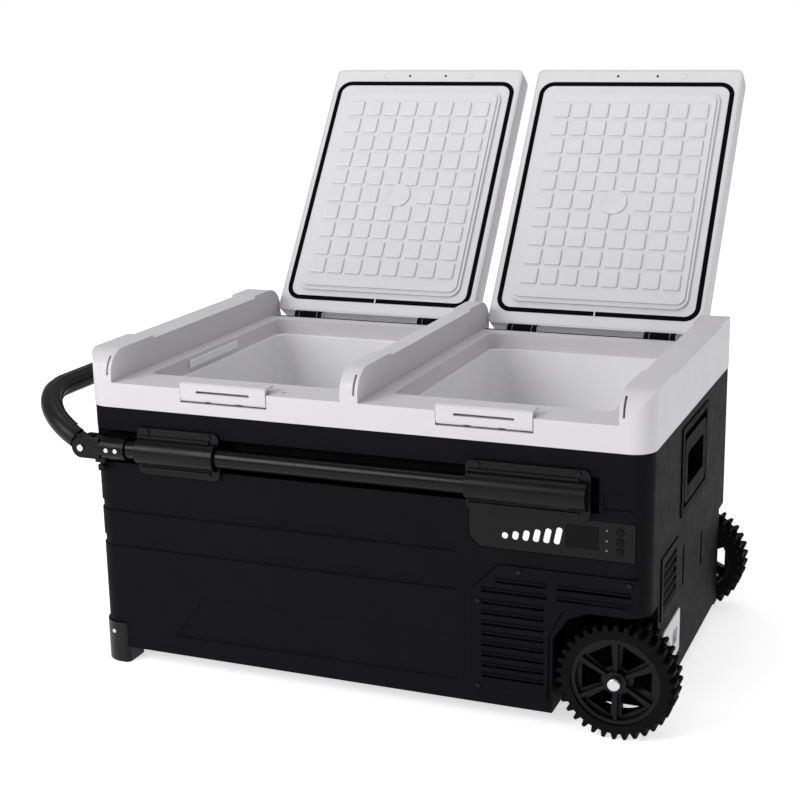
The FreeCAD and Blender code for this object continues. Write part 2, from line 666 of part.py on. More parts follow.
def tyre():
    """Knobbly tyre: two staggered rows of pointed lugs on a carcass."""
    y = (-WHEEL_Y - WHEEL_HALF, -WHEEL_Y + WHEEL_HALF)
    root = WHEEL_RADIUS - 9
    pieces = [wheel_ring(root + 1, RIM_RADIUS, y)]
    pitch = 360 / LUGS
    for row, span in enumerate(((y[0], -WHEEL_Y - 1), (-WHEEL_Y + 1, y[1]))):
        for i in range(LUGS):
            at = -90 + pitch * (i + row / 2)
            foot, tip = pitch * 0.36, pitch * 0.15
            pieces.append(wheel_prism([polar(root, at - foot), polar(root, at + foot),
                                       polar(WHEEL_RADIUS, at + tip),
                                       polar(WHEEL_RADIUS, at - tip)], span))
    return pieces[0].fuse(pieces[1:])


def wheel_rim():
    """Wheel disc with six windows, between a deep rim and a long hub."""
    rim = wheel_ring(RIM_RADIUS, RIM_RADIUS - 6, (-WHEEL_Y - 21, -WHEEL_Y + 21))
    disc = wheel_ring(RIM_RADIUS - 5, AXLE_RADIUS, (-WHEEL_Y - 14, -WHEEL_Y - 2))
    hub = wheel_ring(HUB_RADIUS, AXLE_RADIUS + 0.05, (-268, -211))
    windows, ribs = [], []
    for i in range(6):
        at = 60 * i
        windows.append(wheel_prism([polar(21, at - 16), polar(21, at + 16), polar(50, at + 21),
                                    polar(50, at - 21)], (-WHEEL_Y - 15, -WHEEL_Y - 1)))
        rib = block((HUB_RADIUS - 2, RIM_RADIUS - 4), (-WHEEL_Y - 20, -WHEEL_Y - 8), (-2.5, 2.5))
        rib.rotate(Vector(0, 0, 0), Vector(0, 1, 0), at + 30)
        rib.translate(Vector(WHEEL_X, 0, WHEEL_RADIUS))
        ribs.append(rib)
    wheel = cut(fuse([rim, disc, hub] + ribs), windows)
    ends = (WHEEL_X, -300, WHEEL_RADIUS), (WHEEL_X, -200, WHEEL_RADIUS)
    return wheel.cut(rod(*ends, AXLE_RADIUS + 0.05))


def wheel_axle():
    return rod((WHEEL_X, -272, WHEEL_RADIUS), (WHEEL_X, 272, WHEEL_RADIUS), AXLE_RADIUS)


def axle_nuts():
    """Domed nuts on the axle's ends."""
    dome = rod((WHEEL_X, -277, WHEEL_RADIUS), (WHEEL_X, -268.6, WHEEL_RADIUS), 9)
    outer = [e for e in dome.Edges if all(abs(v.Y + 277) < 1e-6 for v in e.Vertexes)]
    dome = dome.makeFillet(3, outer)
    return group(both_faces(dome.cut(wheel_axle())))


def corner_feet():
    """Bumper feet that wrap the two lower corners of the left end."""
    foot = rounded_block((-HALF_L - 3, -HALF_L + 44), (-HALF_D - 3, -HALF_D + 44), (0, 62), 8)
    round_corner = rounded_block((-HALF_L - 3, HALF_L), (-HALF_D - 3, HALF_D), (0, 62),
                                 CASE_CORNER + 3)
    casing = rounded_block((-HALF_L, HALF_L), (-HALF_D, HALF_D), (FLOOR_GAP, 70), CASE_CORNER)
    return group(both_faces(foot.common(round_corner).cut(casing)))


# ---- grilles, panel and end fittings ------------------------------------------------------
def vent_screw_places():
    return [(238, 218), (181, 172), (386, 218), (181, 50)]


def front_vent_cover():
    """Removable cover with hooded louvres in front of the condenser."""
    face, floor = -HALF_D - 2, -HALF_D + 2
    plate = prism_y(vent_outline(0.5), (face, floor))
    slots, hoods = [], []
    rows = [(66 + 15 * i, (186, 272)) for i in range(8)]
    rows += [(188, (186, 276)), (188, (290, 388)), (203, (206, 276)), (203, (290, 388))]
    for z, x in rows:
        slots.append(block(x, (face - 1, floor + 1), (z - 3.5, z + 3.5)))
        hoods.append(prism_x([(face, z + 3.5), (face - 2, z + 3), (face - 2, z + 1),
                              (floor, z + 1.5), (floor, z + 3.5)], x))
    shelf = prism_x([(face, 61), (face - 3, 52), (face - 3, 49), (face, 46)], (190, 276))
    screws = [rod((sx, face - 1, sz), (sx, floor + 1, sz), 2) for sx, sz in vent_screw_places()]
    return cut(fuse([plate.cut(Part.Compound(slots)), shelf] + hoods), screws)


def cover_screws():
    return group([screw(sx, -HALF_D - 2, sz, 3.6, 2, 3.8) for sx, sz in vent_screw_places()])


def end_vent_grille():
    """Louvred insert in the right end, beside the wheel arch."""
    flange = block((HALF_L, HALF_L + 2), (-199, -99), (143, 231))
    body = block((HALF_L - 4, HALF_L), (-193.5, -104.5), (148.5, 225.5))
    window = block((HALF_L - 5, HALF_L + 3), (-188, -110), (154, 220))
    louvres = [prism([(HALF_L - 4, -189, z + 9), (HALF_L - 4, -189, z + 6),
                      (HALF_L + 2, -189, z), (HALF_L + 2, -189, z + 3)], (0, 80, 0))
               for z in (156, 169, 182, 195, 208)]
    return fuse([fuse([flange, body]).cut(window)] + louvres)


def control_panel():
    floor = -HALF_D + 4
    plate = prism_y(panel_outline(0.4), (floor - 3.2, floor))
    window = prism_y([(300, 261), (344, 261), (344, 291), (300, 291)], (floor - 4, floor - 1.5))
    bores = [rod((BUTTON_X, floor - 4, z), (BUTTON_X, floor + 1, z), 5.3) for z in BUTTON_Z]
    return cut(plate, [window] + bores)


def display_window():
    floor = -HALF_D + 4
    return prism_y([(300.2, 261.2), (343.8, 261.2), (343.8, 290.8), (300.2, 290.8)],
                   (floor - 3.2, floor - 1.5))


def panel_button(z):
    floor = -HALF_D + 4
    return rod((BUTTON_X, floor - 4.4, z), (BUTTON_X, floor - 1.4, z), 5.0)


def end_cup_outside():
    return block((HALF_L - 26, HALF_L), (-79.5, 79.5), (258.5, 371.5))


def end_handle_cup():
    """Recess in the right end that the drop handle folds into."""
    flange = block((HALF_L, HALF_L + 2), (-86, 86), (252, 378))
    room = rounded_block((HALF_L - 23, HALF_L + 3), (-76.5, 76.5), (261.5, 368.5), 4)
    pins = rod((BAIL_PIVOT[0], -79, BAIL_PIVOT[1]), (BAIL_PIVOT[0], 79, BAIL_PIVOT[1]), 3)
    return cut(fuse([flange, end_cup_outside()]), [room, pins])


def end_handle():
    """Drop handle hanging in its cup: two arms and a thick bar round a finger gap."""
    x, z = BAIL_PIVOT
    outer = rounded_plate((x - 6, x + 8), (-BAIL_HALF - 9, BAIL_HALF + 9), (z - 84, z + 9), 14)
    gap = rounded_plate((x - 9, x + 11), (-BAIL_HALF + 9, BAIL_HALF - 9), (z - 62, z - 13), 8)
    return cut(outer, [gap, rod((x, -80, z), (x, 80, z), 3.05)])


def rounded_plate(x, y, z, corner):
    """A plate facing +X with rounded corners."""
    plate = block(x, y, z)
    edges = [e for e in plate.Edges if abs(e.tangentAt(e.FirstParameter).x) > 0.99]
    return plate.makeFillet(corner, edges)


def end_handle_pins():
    x, z = BAIL_PIVOT
    return group(both_faces(rod((x, -79, z), (x, -BAIL_HALF + 12, z), 3)))


def power_inlet():
    """Socket plate low on the right end: round DC inlet and square mains inlet."""
    flange = rounded_plate((HALF_L, HALF_L + 2.5), (-184, -80), (57, 121), 6)
    body = block((HALF_L - 18, HALF_L), (-177.5, -86.5), (62.5, 115.5))
    dc = rod((HALF_L - 15, DC_Y, SOCKET_Z), (HALF_L + 4, DC_Y, SOCKET_Z), 10.5)
    mains = rounded_plate((HALF_L - 15, HALF_L + 4), (-125, -97), (SOCKET_Z - 11, SOCKET_Z + 11),
                          4)
    return cut(fuse([flange, body]), [dc, mains])


def drain_plug():
    """Push-in plug that closes the drain passage."""
    stem = rod((-HALF_L, 0, 96), (-HALF_L + 30, 0, 96), 7.2)
    cap = rod((-HALF_L - 5, 0, 96), (-HALF_L, 0, 96), 13)
    lip = block((-HALF_L - 5, -HALF_L - 1), (-6, 6), (96, 114))
    return fuse([stem, cap, lip])


# ---- cooling machine ----------------------------------------------------------------------
def compressor():
    """Sealed can on a flat base."""
    x, y = COMPRESSOR
    can = rod((x, y, 50), (x, y, 152), 60)
    can = can.makeFillet(26, [e for e in can.Edges if len(e.Vertexes) == 1])
    base = rounded_block((x - 62, x + 62), (y - 58, y + 58), (44, 50), 12)
    holes = [rod((fx, fy, 40), (fx, fy, 52), 5) for fx, fy in grommet_places()]
    return cut(fuse([can, base, rod((x, y, 50), (x, y, 80), 40)]), holes)


def grommet_places():
    x, y = COMPRESSOR
    return [(x + sx * 52, y + sy * 48) for sx in (-1, 1) for sy in (-1, 1)]


def compressor_grommets():
    floor = FLOOR_GAP + CASE_WALL
    feet = []
    for x, y in grommet_places():
        feet.append(fuse([rod((x, y, floor), (x, y, 44), 9), rod((x, y, 44), (x, y, 53), 4.9)]))
    return group(feet)


def condenser():
    """Stack of upright fins on three cross tubes."""
    x, y, z = (184, 262), (-262, -232), (58, 198)
    sheets = [block((x[0] + 6 * i, x[0] + 6 * i + 1.2), y, z) for i in range(14)]
    tubes = [rod((x[0], -247, tz), (CONDENSER_END, -247, tz), 4)
             for tz in (75, 105, 135, 165, 185)]
    return fuse(sheets + tubes)


def fan_shroud():
    """Square fan frame with a round throat, four struts and the motor boss."""
    x, z = FAN_CENTRE
    frame = block((x - 44, x + 44), (-224, -204), (z - 44, z + 44))
    throat = rod((x, -230, z), (x, -200, z), 41)
    foot = block((x - 40, x + 40), (-222, -206), (FLOOR_GAP + CASE_WALL, z - 43))
    boss = rod((x, -210, z), (x, -204, z), 11)
    struts = [block((x - 43, x + 43), (-208, -204), (z - 2.5, z + 2.5)),
              block((x - 2.5, x + 2.5), (-208, -204), (z - 43, z + 43))]
    shaft = rod((x, -222, z), (x, -206, z), 2.5)
    return fuse([frame.cut(throat), foot, boss, shaft] + struts)


def fan_impeller():
    """Seven pitched blades round a cup-shaped hub."""
    x, z = FAN_CENTRE
    pieces = [rod((x, -221, z), (x, -211, z), 14)]
    for i in range(7):
        blade = block((12, 38), (-1, 1), (-8, 8))
        blade.rotate(Vector(0, 0, 0), Vector(1, 0, 0), 62)
        blade.rotate(Vector(0, 0, 0), Vector(0, 1, 0), i * 360 / 7)
        blade.translate(Vector(x, -216, z))
        pieces.append(blade)
    return fuse(pieces).cut(rod((x, -223, z), (x, -210, z), 2.55))


def controller():
    """Electronics box with a finned lid, standing on the casing floor."""
    floor = FLOOR_GAP + CASE_WALL
    box = block((290, 350), (-74, 30), (floor, floor + 34))
    fins = [block((294 + 8 * i, 297 + 8 * i), (-70, 26), (floor + 33, floor + 44))
            for i in range(7)]
    return fuse([box] + fins)


def pipework():
    """Discharge, suction and liquid pipes, with the drier on the liquid pipe."""
    x, y = COMPRESSOR
    side = x + 60.2
    inlet, outlet = 105, 75
    end = CONDENSER_END + 0.1
    discharge = pipe([(side, y, inlet), (side + 14, y, inlet), (side + 14, -180, inlet),
                      (276, -180, inlet), (276, -247, inlet), (end, -247, inlet)], 3, 6)
    suction = pipe([(x, y, 152.2), (x, y, 196), (BAY_X + 0.1, y, 196)], 4, 14)
    liquid = pipe([(end, -247, outlet), (276, -247, outlet), (276, -150, outlet),
                   (BAY_X + 0.1, -150, outlet)], 3, 6)
    drier = rod((186, -150, outlet), (232, -150, outlet), 9)
    return group([discharge, suction, fuse([liquid, drier])])


# ---- the whole object ---------------------------------------------------------------------
def all_shapes():
    shapes = {
        "outer_casing": outer_casing(), "insulation_foam": insulation_foam(),
        "top_rim": top_rim(), "left_liner": liner(-1), "right_liner": liner(1),
        "left_evaporator": evaporator(-1), "right_evaporator": evaporator(1),
        "hinge_pins": hinge_pins(), "latch_pins": latch_pins(), "led_lamp": led_lamp(),
        "bracket_screws": bracket_screws(), "wheel_axle": wheel_axle(),
        "axle_nuts": axle_nuts(), "corner_feet": corner_feet(),
        "front_vent_cover": front_vent_cover(), "cover_screws": cover_screws(),
        "end_vent_grille": end_vent_grille(), "control_panel": control_panel(),
        "display_window": display_window(), "end_handle_cup": end_handle_cup(),
        "end_handle": end_handle(), "end_handle_pins": end_handle_pins(),
        "power_inlet": power_inlet(), "drain_plug": drain_plug(),
        "compressor": compressor(), "compressor_grommets": compressor_grommets(),
        "condenser": condenser(), "fan_shroud": fan_shroud(), "fan_impeller": fan_impeller(),
        "controller": controller(), "pipework": pipework(),
        "pull_grip": pull_grip(), "elbow_pins": elbow_pins(),
    }
    for name, z in zip(("power_button", "up_button", "down_button"), BUTTON_Z):
        shapes[name] = panel_button(z)
    mirrored = {"bracket_left": bracket(BRACKET_LEFT, False),
                "bracket_right": bracket(BRACKET_RIGHT, True), "pull_tube": pull_tube(),
                "tube_elbow": tube_elbow(), "lock_knob": lock_knob(), "tyre": tyre(),
                "wheel_rim": wheel_rim()}
    for name, solid in mirrored.items():
        shapes["front_" + name], shapes["back_" + name] = both_faces(solid)
    lid_pieces = {"lid_shell": lid_shell(), "lid_liner": lid_liner(), "lid_foam": lid_foam(),
                  "lid_gasket": gasket_ring()}
    for side, word in ((-1, "left_"), (1, "right_")):
        shapes[word + "latch"] = latch(side * ZONE_X)
        for name, solid in lid_pieces.items():
            shapes[word + name] = opened(solid, side)
    return shapes


def origin_shift(shapes):
    """The move that puts the origin at the bottom centre of the object's box."""
    box = FreeCAD.BoundBox()
    for solid in shapes.values():
        box.add(solid.optimalBoundingBox(False, False))
    return Vector(-box.Center.x, -box.Center.y, -box.ZMin)


def main():
    os.makedirs("parts", exist_ok=True)
    shapes = all_shapes()
    shift = origin_shift(shapes)
    for name, solid in shapes.items():
        moved = solid.copy()
        moved.translate(shift)
        moved.exportStep("parts/%s.step" % name)


if __name__ == "__main__":
    main()
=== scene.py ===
"""Finishes and fine detail of a wheeled two-zone cooler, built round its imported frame."""
import json
import math

import bmesh
import bpy
from mathutils import Matrix, Vector

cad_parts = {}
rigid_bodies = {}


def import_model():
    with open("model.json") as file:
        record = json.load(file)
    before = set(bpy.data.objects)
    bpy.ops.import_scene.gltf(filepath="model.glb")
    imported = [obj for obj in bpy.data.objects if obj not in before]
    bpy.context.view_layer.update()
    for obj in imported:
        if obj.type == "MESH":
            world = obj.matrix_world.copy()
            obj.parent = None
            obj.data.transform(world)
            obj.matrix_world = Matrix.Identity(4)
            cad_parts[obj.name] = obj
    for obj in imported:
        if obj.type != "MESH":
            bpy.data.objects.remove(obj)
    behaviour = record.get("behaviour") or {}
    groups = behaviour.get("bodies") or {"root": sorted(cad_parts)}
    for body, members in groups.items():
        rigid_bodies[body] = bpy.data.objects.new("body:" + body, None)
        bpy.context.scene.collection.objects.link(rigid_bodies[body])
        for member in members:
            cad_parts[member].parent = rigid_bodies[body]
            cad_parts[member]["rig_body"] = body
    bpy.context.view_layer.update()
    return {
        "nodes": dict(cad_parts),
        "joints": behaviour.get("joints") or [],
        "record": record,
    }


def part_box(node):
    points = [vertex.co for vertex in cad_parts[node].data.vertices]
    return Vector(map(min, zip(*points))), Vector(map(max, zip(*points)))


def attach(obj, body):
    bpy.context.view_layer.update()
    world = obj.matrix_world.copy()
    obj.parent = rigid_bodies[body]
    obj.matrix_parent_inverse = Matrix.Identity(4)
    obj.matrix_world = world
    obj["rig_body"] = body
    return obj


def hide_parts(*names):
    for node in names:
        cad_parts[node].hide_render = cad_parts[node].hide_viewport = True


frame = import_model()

MM = 0.001
SMOOTH_BELOW = math.radians(35)     # edges sharper than this stay crisp

SLOTS = {row["node"]: row["material_slot"] for row in frame["record"]["subparts"]}
JOINTS = {joint["name"]: joint for joint in frame["joints"]}


# ---- small helpers ------------------------------------------------------------------------
def srgb(code):
    """A hex colour as linear red, green, blue and alpha."""
    channels = [int(code[i:i + 2], 16) / 255 for i in (1, 3, 5)]
    linear = [c / 12.92 if c <= 0.04045 else ((c + 0.055) / 1.055) ** 2.4 for c in channels]
    return (*linear, 1.0)


def add_node(tree, kind, inputs=None, **settings):
    """Add a node: settings are its properties, inputs its values or links by socket."""
    node = tree.nodes.new(kind)
    for name, value in settings.items():
        setattr(node, name, value)
    for name, value in (inputs or {}).items():
        if isinstance(value, bpy.types.NodeSocket):
            tree.links.new(value, node.inputs[name])
        else:
            node.inputs[name].default_value = value
    return node


def middle(node):
    """The centre of a node's box."""
    low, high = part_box(node)
    return (low + high) / 2


def as_mesh(name, shape, smooth=False, sharp=None):
    """Turn a bmesh into a mesh, smooth or flat, with edges above an angle kept sharp."""
    mesh = bpy.data.meshes.new(name)
    shape.to_mesh(mesh)
    shape.free()
    if smooth:
        mesh.shade_smooth()
    if sharp:
        mesh.set_sharp_from_angle(angle=sharp)
    return mesh


def as_piece(name, mesh, body, finish):
    """Put a finished mesh in the scene as a piece that rides on a body."""
    piece = bpy.data.objects.new(name, mesh)
    bpy.context.scene.collection.objects.link(piece)
    mesh.materials.clear()
    mesh.materials.append(finish)
    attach(piece, body)
    return piece


def baked(source):
    """The evaluated mesh of an object, which is then removed with its modifiers."""
    depsgraph = bpy.context.evaluated_depsgraph_get()
    mesh = bpy.data.meshes.new_from_object(source.evaluated_get(depsgraph),
                                           preserve_all_data_layers=True, depsgraph=depsgraph)
    bpy.data.objects.remove(source)
    return mesh


def temporary(name, data):
    """An object that is only there to be baked."""
    source = bpy.data.objects.new(name, data)
    bpy.context.scene.collection.objects.link(source)
    return source


# nodes with ring-shaped flats, which don't merge into one clean face
KEEP_TRIANGLES = {"left_lid_liner", "right_lid_liner", "left_lid_gasket", "right_lid_gasket",
                  "end_handle_cup"}


DOUBLES = 0.002 * MM                # vertices closer than this are one
FLAT = math.radians(0.6)            # faces that meet below this are one
BEVEL_ABOVE = math.radians(33)      # edges sharper than this are rounded over


def softened(node, width, finish):
    """A copy of a CAD node whose sharp edges are rounded over as its mould leaves them."""
    shape = bmesh.new()
    shape.from_mesh(frame["nodes"][node].data)
    bmesh.ops.remove_doubles(shape, verts=shape.verts, dist=DOUBLES)
    if node not in KEEP_TRIANGLES:
        bmesh.ops.dissolve_limit(shape, angle_limit=FLAT, verts=shape.verts,
                                 edges=shape.edges)
    source = temporary(node, as_mesh(node, shape, smooth=True))
    bevel = source.modifiers.new("edge", "BEVEL")
    bevel.width = width * MM
    bevel.segments = 2
    bevel.limit_method = "ANGLE"
    bevel.angle_limit = BEVEL_ABOVE
    bevel.use_clamp_overlap = True
    weights = source.modifiers.new("shading", "WEIGHTED_NORMAL")
    weights.keep_sharp = True
    weights.weight = 90
    body = frame["nodes"][node]["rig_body"]
    piece = as_piece("soft_" + node, baked(source), body, finish)
    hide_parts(node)


def box_mesh(shape, centre, size, turn=None):
    """Add a box to a bmesh."""
    made = bmesh.ops.create_cube(shape, size=1.0)["verts"]
    place = Matrix.Translation(centre) @ (turn or Matrix.Identity(4))
    bmesh.ops.transform(shape, verts=made, matrix=place @ Matrix.Diagonal((*size, 1.0)))


def button_mesh(shape, centre, radius, flatness, matrix=None, segments=16):
    """Add a sphere flattened along one axis to a bmesh."""
    place = (matrix or Matrix.Identity(4)) @ Matrix.Translation(centre)
    bmesh.ops.create_uvsphere(shape, u_segments=segments, v_segments=segments // 2,
                              radius=radius, matrix=place @ Matrix.Diagonal((*flatness, 1)))


# ---- finishes -----------------------------------------------------------------------------
def new_finish(name):
    """An empty node material and its tree."""
    material = bpy.data.materials.new(name)
    material.use_nodes = True
    material.node_tree.nodes.clear()
    return material, material.node_tree


def close_finish(tree, inputs):
    """End a material with one principled shader."""
    shader = add_node(tree, "ShaderNodeBsdfPrincipled", inputs)
    add_node(tree, "ShaderNodeOutputMaterial", {"Surface": shader.outputs["BSDF"]})


def moulded(name, colour, pale, roughness, grain_mm, depth_mm, spread=0.06, shine=0.5,
            ior=1.5):
    """Injection-moulded plastic: an even colour that drifts a little, and a spark-eroded
    grain that breaks up its gloss."""
    material, tree = new_finish(name)
    place = add_node(tree, "ShaderNodeTexCoord").outputs["Object"]
    drift = add_node(tree, "ShaderNodeTexNoise",
                     {"Vector": place, "Scale": 1000 / 90, "Detail": 3.0})
    handling = add_node(tree, "ShaderNodeTexNoise",
                        {"Vector": place, "Scale": 1000 / 28, "Detail": 5.0, "Roughness": 0.7})
    grain = add_node(tree, "ShaderNodeTexNoise",
                     {"Vector": place, "Scale": 1000 / grain_mm, "Detail": 2.0})
    tint = add_node(tree, "ShaderNodeMix", {0: drift.outputs["Fac"], 6: srgb(colour),
                                            7: srgb(pale)}, data_type="RGBA")
    gloss = add_node(tree, "ShaderNodeMapRange",
                     {"Value": handling.outputs["Fac"], "From Min": 0.3, "From Max": 0.7,
                      "To Min": roughness - spread, "To Max": roughness + spread})
    bump = add_node(tree, "ShaderNodeBump",
                    {"Height": grain.outputs["Fac"], "Distance": depth_mm * MM,
                     "Strength": 0.6})
    close_finish(tree, {"Base Color": tint.outputs[2],
                        "Roughness": gloss.outputs["Result"], "IOR": ior,
                        "Specular IOR Level": shine,
                        "Normal": bump.outputs["Normal"]})
    return material


def metal(name, colour, pale, roughness, stretch, grain_mm, depth_mm):
    """Bare or plated metal, its tool marks drawn out along one axis."""
    material, tree = new_finish(name)
    place = add_node(tree, "ShaderNodeTexCoord").outputs["Object"]
    along = add_node(tree, "ShaderNodeMapping", {"Vector": place, "Scale": stretch})
    marks = add_node(tree, "ShaderNodeTexNoise",
                     {"Vector": along.outputs["Vector"], "Scale": 1000 / grain_mm,
                      "Detail": 3.0})
    tint = add_node(tree, "ShaderNodeMix", {0: marks.outputs["Fac"], 6: srgb(colour),
                                            7: srgb(pale)}, data_type="RGBA")
    gloss = add_node(tree, "ShaderNodeMapRange",
                     {"Value": marks.outputs["Fac"], "To Min": roughness - 0.06,
                      "To Max": roughness + 0.08})
    bump = add_node(tree, "ShaderNodeBump",
                    {"Height": marks.outputs["Fac"], "Distance": depth_mm * MM,
                     "Strength": 0.4})
    close_finish(tree, {"Base Color": tint.outputs[2], "Metallic": 1.0,
                        "Roughness": gloss.outputs["Result"],
                        "Normal": bump.outputs["Normal"]})
    return material


def foam():
    """Rigid polyurethane foam, cut and aged to a pale straw, with open pores."""
    material, tree = new_finish("rigid polyurethane foam")
    place = add_node(tree, "ShaderNodeTexCoord").outputs["Object"]
    pores = add_node(tree, "ShaderNodeTexVoronoi", {"Vector": place, "Scale": 1000 / 3})
    drift = add_node(tree, "ShaderNodeTexNoise", {"Vector": place, "Scale": 1000 / 60})
    tint = add_node(tree, "ShaderNodeMix", {0: drift.outputs["Fac"],
                                            6: srgb("#D8C48C"), 7: srgb("#E6D7A8")},
                    data_type="RGBA")
    bump = add_node(tree, "ShaderNodeBump",
                    {"Height": pores.outputs["Distance"], "Distance": 0.6 * MM,
                     "Strength": 0.7})
    close_finish(tree, {"Base Color": tint.outputs[2], "Roughness": 0.9,
                        "Normal": bump.outputs["Normal"]})
    return material


def smoked_acrylic():
    """Smoked acrylic over a dark display: nearly black, glossy, with faint hairlines."""
    material, tree = new_finish("smoked acrylic")
    place = add_node(tree, "ShaderNodeTexCoord").outputs["Object"]
    hairlines = add_node(tree, "ShaderNodeTexNoise",
                         {"Vector": place, "Scale": 1000 / 2, "Detail": 4.0})
    tint = add_node(tree, "ShaderNodeMix", {0: hairlines.outputs["Fac"],
                                            6: srgb("#050506"), 7: srgb("#08080A")},
                    data_type="RGBA")
    gloss = add_node(tree, "ShaderNodeMapRange", {"Value": hairlines.outputs["Fac"],
                                                  "To Min": 0.06, "To Max": 0.16})
    close_finish(tree, {"Base Color": tint.outputs[2], "IOR": 1.3, "Specular IOR Level": 0.2,
                        "Roughness": gloss.outputs["Result"]})
    return material


def lit(name, colour, strength):
    """A small tinted indicator lens with its lamp glowing faintly behind it."""
    material, tree = new_finish(name)
    place = add_node(tree, "ShaderNodeTexCoord").outputs["Object"]
    cells = add_node(tree, "ShaderNodeTexNoise", {"Vector": place, "Scale": 1000 / 1.5})
    tint = add_node(tree, "ShaderNodeMix", {0: cells.outputs["Fac"], 6: srgb(colour),
                                            7: srgb("#8A8A8C")}, data_type="RGBA")
    close_finish(tree, {"Base Color": tint.outputs[2], "Roughness": 0.25,
                        "Emission Color": srgb(colour), "Emission Strength": strength})
    return material


FINISH = {
    # polypropylene copolymer, spark-eroded mould: dull black with a faint sheen
    "casing_plastic": moulded("textured black polypropylene", "#0D0C0E", "#111013", 0.62,
                              1.6, 0.16, shine=0.15, ior=1.25),
    # ABS, fine matt mould: light warm grey, satin
    "rim_plastic": moulded("satin grey ABS", "#C8C6CA", "#CECCD0", 0.46, 1.3, 0.05),
    # vacuum-formed polystyrene: smooth, paler, softly glossy
    "liner_plastic": moulded("vacuum-formed polystyrene", "#D3D2D5", "#D9D8DB", 0.38, 4.0,
                             0.04),
    # high-impact polystyrene tubs, vacuum-formed: the palest plastic here
    "tub": moulded("high-impact polystyrene", "#E9E8EB", "#F0EFF1", 0.4, 4.0, 0.04),
    # the drop handle and its cup: the same nylon from a matt mould, dusty
    "handle": moulded("matt glass-filled nylon", "#060607", "#0A0A0B", 0.62, 1.6, 0.1,
                      shine=0.1, ior=1.22),
    # glass-filled nylon, polished mould: black with a clear highlight
    "gloss_black": moulded("glass-filled nylon", "#070708", "#0A0A0C", 0.32, 2.2, 0.05,
                           shine=0.3, ior=1.33),
    # overmoulded thermoplastic elastomer: soft black, faint fingerprints
    "grip_black": moulded("thermoplastic elastomer", "#0A0A0C", "#0F0F11", 0.4, 1.2, 0.08,
                          shine=0.35, ior=1.36),
    # moulded polyurethane tread: flat black, dusty
    "tyre_black": moulded("moulded polyurethane", "#060607", "#0A0A0B", 0.62, 2.4, 0.2,
                          shine=0.15, ior=1.3),
    # extruded soft PVC: flat black
    "gasket_rubber": moulded("extruded soft PVC", "#040405", "#070708", 0.6, 2.0, 0.05,
                             shine=0.1, ior=1.25),
    # silicone keys, flat black
    "key_black": moulded("silicone rubber", "#0D0D0F", "#131315", 0.55, 1.0, 0.05,
                         shine=0.2, ior=1.3),
    # pale ABS of the socket plate
    "inlet_grey": moulded("pale grey ABS", "#C9C8CC", "#D2D1D5", 0.45, 1.3, 0.05),
    # frosted polycarbonate diffuser
    "lamp": moulded("frosted polycarbonate", "#E4E4E6", "#F0F0F2", 0.35, 1.5, 0.04),
    # powder-coated aluminium tube: satin black with a fine orange peel
    "tube_black": moulded("powder-coated aluminium", "#040405", "#060607", 0.26, 3.0, 0.05,
                          shine=0.35, ior=1.32),
    # blackened steel screws
    "black_screw": metal("blackened steel", "#1A1A1C", "#2A2A2D", 0.35, (1, 1, 1), 1.5, 0.03),
    # bright zinc plate on turned steel
    "steel_pin": metal("zinc-plated steel", "#B9BBC0", "#D2D4D8", 0.26, (1, 6, 1), 2.0, 0.02),
    "aluminium_sheet": metal("mill-finish aluminium", "#B4B6BA", "#C6C8CC", 0.34, (1, 8, 8),
                             3.0, 0.02),
    "copper": metal("drawn copper", "#B36B4A", "#C98560", 0.3, (1, 1, 1), 4.0, 0.02),
    # enamelled steel can of the compressor
    "compressor_paint": moulded("baked black enamel", "#141416", "#1B1B1E", 0.28, 6.0, 0.04),
    "controller_case": moulded("black anodised die casting", "#1E1F22", "#28292D", 0.4, 1.8,
                               0.05),
    "foam": foam(),
    "window": smoked_acrylic(),
}

# printed ink, a plain off-white
PRINT = moulded("screen-printed white ink", "#ECEBEE", "#F6F5F8", 0.4, 0.8, 0.02)
RED_LAMP = lit("red indicator lens", "#6E1A24", 0.25)
GREEN_LAMP = lit("green indicator lens", "#1A5E3A", 0.25)


# ---- CAD nodes that show, with their edges softened ---------------------------------------
EDGES = {
    "outer_casing": 1.6, "top_rim": 1.6, "corner_feet": 1.6, "front_vent_cover": 0.5,
    "end_vent_grille": 0.5, "control_panel": 0.6, "display_window": 0.3,
    "end_handle_cup": 1.0, "end_handle": 2.4, "power_inlet": 0.8, "drain_plug": 0.8,
    "left_liner": 1.0, "right_liner": 1.0, "led_lamp": 0.8,
    "left_lid_shell": 0.8, "right_lid_shell": 0.8,
    "left_lid_liner": 1.5, "right_lid_liner": 1.5,
    "left_lid_gasket": 1.6, "right_lid_gasket": 1.6,
    "left_latch": 1.6, "right_latch": 1.6,
    "front_bracket_left": 1.0, "back_bracket_left": 1.0,
    "front_bracket_right": 1.0, "back_bracket_right": 1.0,
    "front_pull_tube": 0.4, "back_pull_tube": 0.4,
    "front_tube_elbow": 1.2, "back_tube_elbow": 1.2, "pull_grip": 1.0,
    "front_lock_knob": 0.6, "back_lock_knob": 0.6, "elbow_pins": 0.5,
    "bracket_screws": 0.6, "cover_screws": 0.5, "axle_nuts": 0.4,
    "front_tyre": 0.6, "back_tyre": 0.6, "front_wheel_rim": 0.9, "back_wheel_rim": 0.9,
    "power_button": 0.5, "up_button": 0.5, "down_button": 0.5,
}


OWN_FINISH = {"left_liner": "tub", "right_liner": "tub",
              "end_handle_cup": "handle", "end_handle": "handle"}


def finish_of(node):
    """The finish of a node: its own, or its slot's."""
    return FINISH[OWN_FINISH.get(node, SLOTS[node])]


